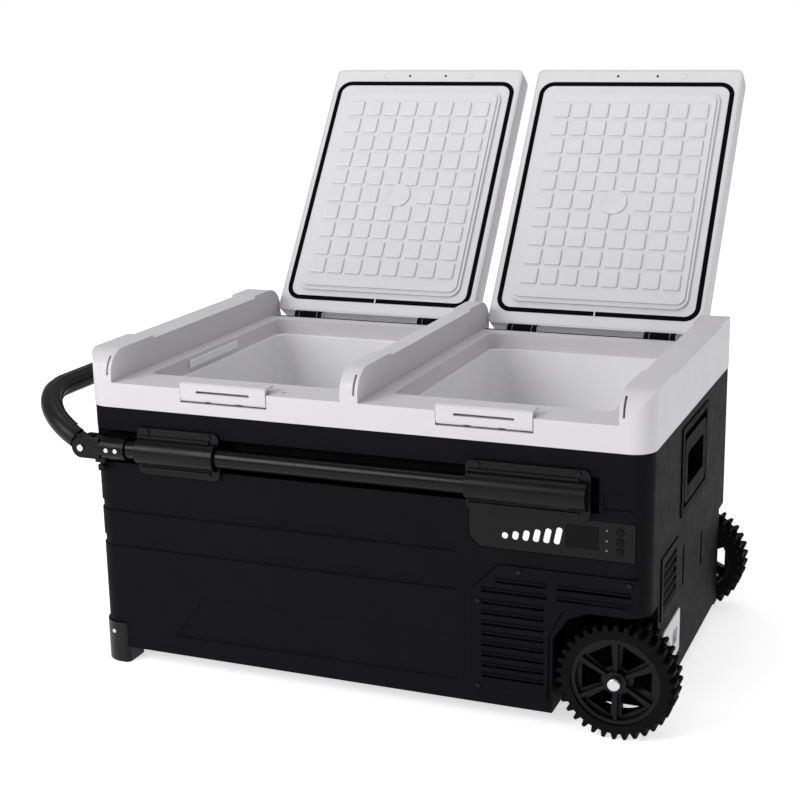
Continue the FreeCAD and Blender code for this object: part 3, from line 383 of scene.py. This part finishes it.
def dress_cad_nodes():
    """Give every CAD node its finish, and stand a softened copy in for those that show."""
    for node, cad in frame["nodes"].items():
        cad.data.materials.clear()
        cad.data.materials.append(finish_of(node))
    for node, width in EDGES.items():
        softened(node, width, finish_of(node))


# ---- lids and hinges ----------------------------------------------------------------------
# in millimetres, with the lid shut: distances in front of the hinge axis, heights above it
LID_ANGLE = math.radians(JOINTS["left_lid_hinge"]["range_deg"][1])
PLUG_UP = -5.0          # the face of the liner's raised plug
MARGIN_UP = 2.0         # the face of the liner's margin
FIELD_MIDDLE = 251.0    # middle of the embossed field
FIELD = (235, 313)      # from the first square's centre to the last one's, across and along
SQUARE = (27, 28, 5)    # one embossed square, half of it sunk in the plug
BOSS_MIDDLE = 234.0     # the round boss, just behind the field's middle
BOSS_RADIUS = 22.0
GASKET_BACK = 36.0      # middle of the gasket's back run, where the clip sits
MARGIN_MIDDLE = 480.0   # middle of the front margin
HINGE_OFFSET = 112      # each hinge from the lid's centre
EAR_OFFSET = 21         # each of the rim's ears from its hinge's centre


def hinge_middle(side):
    """The middle of a lid's hinge line."""
    hinge = Vector(JOINTS[side + "_lid_hinge"]["pos_m"])
    hinge.x = middle(side + "_lid_liner").x
    return hinge


def open_lid(side):
    """Takes a point drawn with the lid shut, from its hinge line's middle, to the open lid."""
    return Matrix.Translation(hinge_middle(side)) @ Matrix.Rotation(-LID_ANGLE, 4, "X")


def node_group(name, sockets):
    """An empty Geometry Nodes group with named inputs and one geometry output."""
    tree = bpy.data.node_groups.new(name, "GeometryNodeTree")
    tree.interface.new_socket("Geometry", in_out="OUTPUT", socket_type="NodeSocketGeometry")
    for label, kind in sockets.items():
        tree.interface.new_socket(label, in_out="INPUT", socket_type=kind)
    return tree, add_node(tree, "NodeGroupInput").outputs


def finish_group(tree, geometry, finish):
    """Close a group with real geometry, smooth shading and one material."""
    real = add_node(tree, "GeometryNodeRealizeInstances", {"Geometry": geometry})
    smooth = add_node(tree, "GeometryNodeSetShadeSmooth",
                      {"Geometry": real.outputs["Geometry"]})
    painted = add_node(tree, "GeometryNodeSetMaterial",
                       {"Geometry": smooth.outputs["Geometry"], "Material": finish})
    add_node(tree, "NodeGroupOutput", {"Geometry": painted.outputs["Geometry"]})
    return tree


def run_group(name, tree, values, data=None):
    """The mesh that a group makes from an object's data with these named values."""
    source = temporary(name, data or bpy.data.meshes.new(name))
    modifier = source.modifiers.new(name, "NODES")
    modifier.node_group = tree
    for item in tree.interface.items_tree:
        if item.in_out == "INPUT" and item.name in values:
            modifier[item.identifier] = values[item.name]
    return baked(source)


def pillow_group(finish):
    """A field of soft-edged squares with a round place kept free for the boss."""
    tree, given = node_group("embossed squares", {
        "Columns": "NodeSocketInt", "Rows": "NodeSocketInt", "Field": "NodeSocketVector",
        "Square": "NodeSocketVector", "Free Place": "NodeSocketVector",
        "Free Radius": "NodeSocketFloat"})
    field = add_node(tree, "ShaderNodeSeparateXYZ", {"Vector": given["Field"]})
    grid = add_node(tree, "GeometryNodeMeshGrid",
                    {"Size X": field.outputs["X"], "Size Y": field.outputs["Y"],
                     "Vertices X": given["Columns"], "Vertices Y": given["Rows"]})
    spot = add_node(tree, "GeometryNodeInputPosition")
    away = add_node(tree, "ShaderNodeVectorMath",
                    {0: spot.outputs["Position"], 1: given["Free Place"]},
                    operation="DISTANCE")
    near = add_node(tree, "FunctionNodeCompare",
                    {"A": away.outputs["Value"], "B": given["Free Radius"]},
                    data_type="FLOAT", operation="LESS_THAN")
    kept = add_node(tree, "GeometryNodeDeleteGeometry",
                    {"Geometry": grid.outputs["Mesh"], "Selection": near.outputs["Result"]})
    cube = add_node(tree, "GeometryNodeMeshCube", {"Size": given["Square"]})
    soft = add_node(tree, "GeometryNodeSubdivisionSurface",
                    {"Mesh": cube.outputs["Mesh"], "Level": 3, "Edge Crease": 0.55})
    laid = add_node(tree, "GeometryNodeInstanceOnPoints",
                    {"Points": kept.outputs["Geometry"], "Instance": soft.outputs["Mesh"]})
    return finish_group(tree, laid.outputs["Instances"], finish)


def lid_squares(side, tree):
    """The field of embossed squares of one lid."""
    squares = run_group(side + " squares", tree, {
        "Columns": 8, "Rows": 10, "Field": (FIELD[0] * MM, FIELD[1] * MM, 0.0),
        "Square": tuple(size * MM for size in SQUARE),
        "Free Place": (0.0, (FIELD_MIDDLE - BOSS_MIDDLE) * MM, 0.0),
        "Free Radius": 26 * MM})
    middle_spot = Vector((0, -FIELD_MIDDLE, PLUG_UP)) * MM
    squares.transform(open_lid(side) @ Matrix.Translation(middle_spot))
    as_piece(side + "_lid_squares", squares, side + "_lid", FINISH["liner_plastic"])


def lid_boss(side):
    """The round boss in the field's middle, its face a little dished."""
    boss = bmesh.new()
    bmesh.ops.create_cone(boss, cap_ends=True, segments=48, radius1=BOSS_RADIUS * MM,
                          radius2=BOSS_RADIUS * MM, depth=5.2 * MM)
    lower = [f for f in boss.faces if f.normal.z < -0.9]
    bmesh.ops.inset_region(boss, faces=lower, thickness=2.2 * MM, depth=0)
    bmesh.ops.translate(boss, verts=list({v for f in lower for v in f.verts}),
                        vec=(0, 0, 0.7 * MM))
    rims = [e for e in boss.edges if len(e.link_faces) == 2
            and e.calc_face_angle(0) > math.radians(40)]
    bmesh.ops.bevel(boss, geom=rims, offset=0.5 * MM, segments=3, affect="EDGES",
                    profile=0.5)
    spot = Vector((0, -BOSS_MIDDLE, PLUG_UP)) * MM
    bmesh.ops.transform(boss, verts=boss.verts,
                        matrix=open_lid(side) @ Matrix.Translation(spot))
    mesh = as_mesh(side + " boss", boss, smooth=True, sharp=SMOOTH_BELOW)
    as_piece(side + "_lid_boss", mesh, side + "_lid", FINISH["liner_plastic"])


def gasket_clip(side):
    """A small clip over the gasket's joint."""
    clip = bmesh.new()
    box_mesh(clip, Vector((0, -GASKET_BACK, 1.05)) * MM, Vector((2.6, 10, 1.6)) * MM)
    bmesh.ops.bevel(clip, geom=list(clip.edges), offset=0.4 * MM, segments=2,
                    affect="EDGES", profile=0.5)
    bmesh.ops.transform(clip, verts=clip.verts, matrix=open_lid(side))
    as_piece(side + "_gasket_clip", as_mesh(side + " clip", clip), side + "_lid",
             FINISH["liner_plastic"])


# half of a C, from its open end round to its open end, millimetres across and along
OUTLINE = [(-4, -5), (4, -5), (6.6, -4.2), (7.8, -2), (7.8, 2), (6.6, 4.2), (4, 5), (-4, 5)]


def front_margin(side):
    """Two raised C outlines and two small raised bumps on the front margin of a lid, the bumps
    black as painted shadow.
    """
    body, place = side + "_lid", open_lid(side)
    outline = bpy.data.curves.new(side + " outlines", "CURVE")
    outline.dimensions = "3D"
    bumps = bmesh.new()
    for end in (-1, 1):
        spline = outline.splines.new("POLY")
        spline.points.add(len(OUTLINE) - 1)
        for point, (across, along) in zip(spline.points, OUTLINE):
            spot = Vector((end * (76 + across), along - MARGIN_MIDDLE, MARGIN_UP)) * MM
            point.co = (*(place @ spot), 1)
        button_mesh(bumps, Vector((end * 34, -MARGIN_MIDDLE, MARGIN_UP)) * MM, 2.2 * MM,
                    (1, 1, 0.5), place)
    mesh = run_group(side + " outlines", rib_group(FINISH["liner_plastic"]),
                     {"Rib Radius": 0.8 * MM}, outline)
    as_piece(side + "_lid_outlines", mesh, body, FINISH["liner_plastic"])
    # the bumps are real, their black finish is painted shadow of the bumps
    mesh = as_mesh(side + " buffers", bumps, smooth=True)
    as_piece(side + "_lid_shade_bumps", mesh, body, FINISH["gasket_rubber"])


def hinge_shadow_strips(side):
    """Dark strips in the hinge trough between the knuckles, clear of the lid's sweep: painted
    shadow of the gap under the lid's back edge, in the gasket's black PVC.
    """
    hinge = hinge_middle(side)
    strips = bmesh.new()
    for start, stop in ((-175, -138), (-86, 86), (138, 175)):
        centre = hinge + Vector(((start + stop) / 2, -3.6, -10.6)) * MM
        box_mesh(strips, centre, Vector((stop - start, 18, 18.6)) * MM)
    upper = [e for e in strips.edges if all(v.co.z > hinge.z - 5 * MM for v in e.verts)
             and abs(e.verts[0].co.y - e.verts[1].co.y) < 1e-6]
    bmesh.ops.bevel(strips, geom=upper, offset=6 * MM, segments=6, affect="EDGES",
                    profile=0.5)
    mesh = as_mesh(side + " strips", strips, smooth=True, sharp=SMOOTH_BELOW)
    # black strips stand in for the shadow in the hinge gap: painted shade
    as_piece(side + "_hinge_shadow_strips", mesh, "cabinet", FINISH["gasket_rubber"])


def hinge_shadow_sleeves(side):
    """Black sleeves over the hinge, painted shade that hides the knuckles in the gap behind
    the lid: the lid's knuckles ride the lid, the rim's ears stay.
    """
    hinge = hinge_middle(side)
    sets = {side + "_lid": ((0, 31),),
            "cabinet": ((-EAR_OFFSET, 7.6), (EAR_OFFSET, 7.6))}
    for body, spans in sets.items():
        sleeves = bmesh.new()
        for offset in (-HINGE_OFFSET, HINGE_OFFSET):
            for along, length in spans:
                place = Matrix.Translation(hinge + Vector((offset + along, 0, 0)) * MM)
                bmesh.ops.create_cone(sleeves, cap_ends=True, segments=40, radius1=9 * MM,
                                      radius2=9 * MM, depth=length * MM,
                                      matrix=place @ Matrix.Rotation(math.pi / 2, 4, "Y"))
        mesh = as_mesh(side + " sleeves " + body, sleeves, smooth=True, sharp=SMOOTH_BELOW)
        # the sleeves' black finish is painted shade over the hinge knuckles and ears
        as_piece(side + "_sleeves_" + body, mesh, body, FINISH["gasket_rubber"])


# ---- pull grip: lengthwise ribs -----------------------------------------------------------
GRIP_TILT = math.radians(30)        # the grip's legs above level, at rest
GRIP_PIVOT = Vector(JOINTS["grip_tilt"]["pos_m"])
GRIP_OUTWARD = Vector((-math.cos(GRIP_TILT), 0, math.sin(GRIP_TILT)))
GRIP_ACROSS = Vector((math.sin(GRIP_TILT), 0, math.cos(GRIP_TILT)))
LEG_START = 18 * MM                 # where the legs begin to curve in, from the pivot
LEG_BEND = 98 * MM                  # radius of that curve
GRIP_RADIUS = 15 * MM
RIB_ANGLES = (8, 44, 80, 116, 152, 188, 224, 260, 292)     # round the bar, clear of its top
HALF_WIDTH = (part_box("pull_grip")[1].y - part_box("pull_grip")[0].y) / 2 - 16.6 * MM


def rib_group(finish):
    """A round rib along each given line."""
    tree, given = node_group("ribs along lines", {"Geometry": "NodeSocketGeometry",
                                                  "Rib Radius": "NodeSocketFloat"})
    profile = add_node(tree, "GeometryNodeCurvePrimitiveCircle",
                       {"Resolution": 8, "Radius": given["Rib Radius"]}, mode="RADIUS")
    swept = add_node(tree, "GeometryNodeCurveToMesh",
                     {"Curve": given["Geometry"], "Profile Curve": profile.outputs["Curve"],
                      "Fill Caps": True})
    return finish_group(tree, swept.outputs["Mesh"], finish)


def grip_ribs():
    """Lengthwise ribs of the moulded sleeve, laid on the grip between its two legs."""
    lines = bpy.data.curves.new("rib lines", "CURVE")
    lines.dimensions = "3D"
    turns = [math.radians(a) for a in range(8, 91, 4)]
    for angle in map(math.radians, RIB_ANGLES):
        bend = LEG_BEND + GRIP_RADIUS * math.cos(angle)
        up = GRIP_RADIUS * math.sin(angle)
        spots = []
        for end in (-1, 1):
            arc = [(LEG_START + bend * math.sin(turn),
                    end * (HALF_WIDTH - LEG_BEND + bend * math.cos(turn))) for turn in turns]
            spots += arc if end < 0 else arc[::-1]
        spline = lines.splines.new("POLY")
        spline.points.add(len(spots) - 1)
        for point, (reach, y) in zip(spline.points, spots):
            spot = GRIP_PIVOT + GRIP_OUTWARD * reach + GRIP_ACROSS * up
            point.co = (spot.x, y + middle("pull_grip").y, spot.z, 1)
    mesh = run_group("grip ribs", rib_group(FINISH["grip_black"]), {"Rib Radius": 1.1 * MM},
                     lines)
    as_piece("grip_ribs", mesh, "grip", FINISH["grip_black"])


def bright_studs():
    """A bright screw head on each leg of the grip and on each bumper foot."""
    leg = GRIP_PIVOT + GRIP_OUTWARD * 36 * MM
    low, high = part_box("pull_grip")
    feet_low, feet_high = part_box("corner_feet")
    foot_x = feet_low.x + 24 * MM
    spots = {"grip": [Vector((leg.x, low.y + 3.2 * MM, leg.z)),
                      Vector((leg.x, high.y - 3.2 * MM, leg.z))],
             "cabinet": [Vector((foot_x, feet_low.y, 48 * MM)),
                         Vector((foot_x, feet_high.y, 48 * MM))]}
    for body, places in spots.items():
        heads = bmesh.new()
        for place in places:
            button_mesh(heads, place, 3.2 * MM, (1, 0.35, 1), segments=20)
        mesh = as_mesh("screw heads " + body, heads, smooth=True)
        as_piece("screw_heads_" + body, mesh, body, FINISH["steel_pin"])


# ---- control panel: plain sign, indicator lenses ------------------------------------------
def panel_marks():
    """Six plain rounded bars printed on the panel."""
    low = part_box("control_panel")[0]
    marks = bmesh.new()
    for step, height in enumerate((8, 11, 14, 17, 20, 23)):
        offset = Vector((50 + 14.4 * step, -0.12, 15 + height / 2)) * MM
        lean = Matrix.Rotation(math.radians(12), 4, "Y")
        box_mesh(marks, low + offset, Vector((8, 0.3, height)) * MM, lean)
    through = [e for e in marks.edges
               if abs((e.verts[0].co - e.verts[1].co).normalized().y) > 0.99]
    bmesh.ops.bevel(marks, geom=through, offset=3.2 * MM, segments=6, affect="EDGES",
                    profile=0.5)
    as_piece("panel_bars", as_mesh("panel bars", marks), "cabinet", PRINT)


def indicator(name, z, finish):
    """One indicator lens beside the keys."""
    low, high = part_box("control_panel")
    lens = bmesh.new()
    button_mesh(lens, Vector((high.x - 37 * MM, low.y + 0.3 * MM, z)), 1.5 * MM, (1, 0.5, 1))
    as_piece(name, as_mesh(name, lens, smooth=True), "cabinet", finish)


# ---- studio -------------------------------------------------------------------------------
def studio_finish(name, colour, strength):
    """Plain painted surface of the set."""
    material, tree = new_finish(name)
    close_finish(tree, {"Base Color": srgb(colour), "Roughness": 0.9,
                        "Specular IOR Level": 0.1, "Emission Color": srgb("#FFFFFF"),
                        "Emission Strength": strength})
    return material


def area_light(name, place, target, size, power):
    """A round soft light aimed at a point."""
    data = bpy.data.lights.new(name, "AREA")
    data.shape = "DISK"
    data.size = size
    data.energy = power
    light = bpy.data.objects.new(name, data)
    light.location = place
    light.rotation_euler = (Vector(target) - Vector(place)).to_track_quat("-Z", "Y").to_euler()
    bpy.context.scene.collection.objects.link(light)


def set_piece(name, shape, finish):
    """A part of the set, which doesn't belong to the object."""
    mesh = as_mesh(name, shape)
    mesh.materials.append(finish)
    stage = bpy.data.objects.new(name, mesh)
    bpy.context.scene.collection.objects.link(stage)
    return stage


def studio():
    """Pale floor, white surround and soft lights."""
    floor = bmesh.new()
    bmesh.ops.create_grid(floor, x_segments=1, y_segments=1, size=12.0)
    set_piece("floor", floor, studio_finish("matt white floor", "#F4F4F4", 0.64))
    dome = bmesh.new()
    bmesh.ops.create_uvsphere(dome, u_segments=48, v_segments=24, radius=14.0)
    surround = set_piece("surround", dome, studio_finish("white surround", "#000000", 1.0))
    for ray in ("visible_diffuse", "visible_glossy", "visible_transmission",
                "visible_shadow"):
        setattr(surround, ray, False)

    world = bpy.data.worlds.new("soft sky")
    world.use_nodes = True
    background = world.node_tree.nodes["Background"]
    background.inputs["Color"].default_value = (1.0, 1.0, 1.0, 1.0)
    background.inputs["Strength"].default_value = 0.44
    bpy.context.scene.world = world
    target = (0.0, 0.0, 0.3)
    area_light("key", (-1.9, -3.3, 2.3), target, 2.0, 84)
    area_light("top", (-0.4, 0.2, 3.4), target, 2.4, 22)


def camera():
    """A three-quarter view from the front and a little above."""
    data = bpy.data.cameras.new("camera")
    data.lens = 69.86
    data.sensor_width = 36.0
    data.clip_end = 60.0
    view = bpy.data.objects.new("camera", data)
    heading, dip, roll = math.radians(22.24), math.radians(14.4), math.radians(-1.03)
    turn = (Matrix.Rotation(heading, 4, "Z") @ Matrix.Rotation(math.pi / 2 - dip, 4, "X")
            @ Matrix.Rotation(roll, 4, "Z"))
    view.matrix_world = Matrix.Translation((0.8621, -2.2373, 0.9447)) @ turn
    bpy.context.scene.collection.objects.link(view)
    bpy.context.scene.camera = view


dress_cad_nodes()
PILLOWS = pillow_group(FINISH["liner_plastic"])
for word in ("left", "right"):
    lid_squares(word, PILLOWS)
    lid_boss(word)
    gasket_clip(word)
    front_margin(word)
    hinge_shadow_strips(word)
    hinge_shadow_sleeves(word)
grip_ribs()
bright_studs()
panel_marks()
indicator("top_lamp", middle("power_button").z + 1 * MM, RED_LAMP)
indicator("middle_lamp", middle("up_button").z, GREEN_LAMP)
indicator("low_lamp", middle("down_button").z, RED_LAMP)
studio()
camera()
bpy.context.scene.view_settings.view_transform = "Standard"
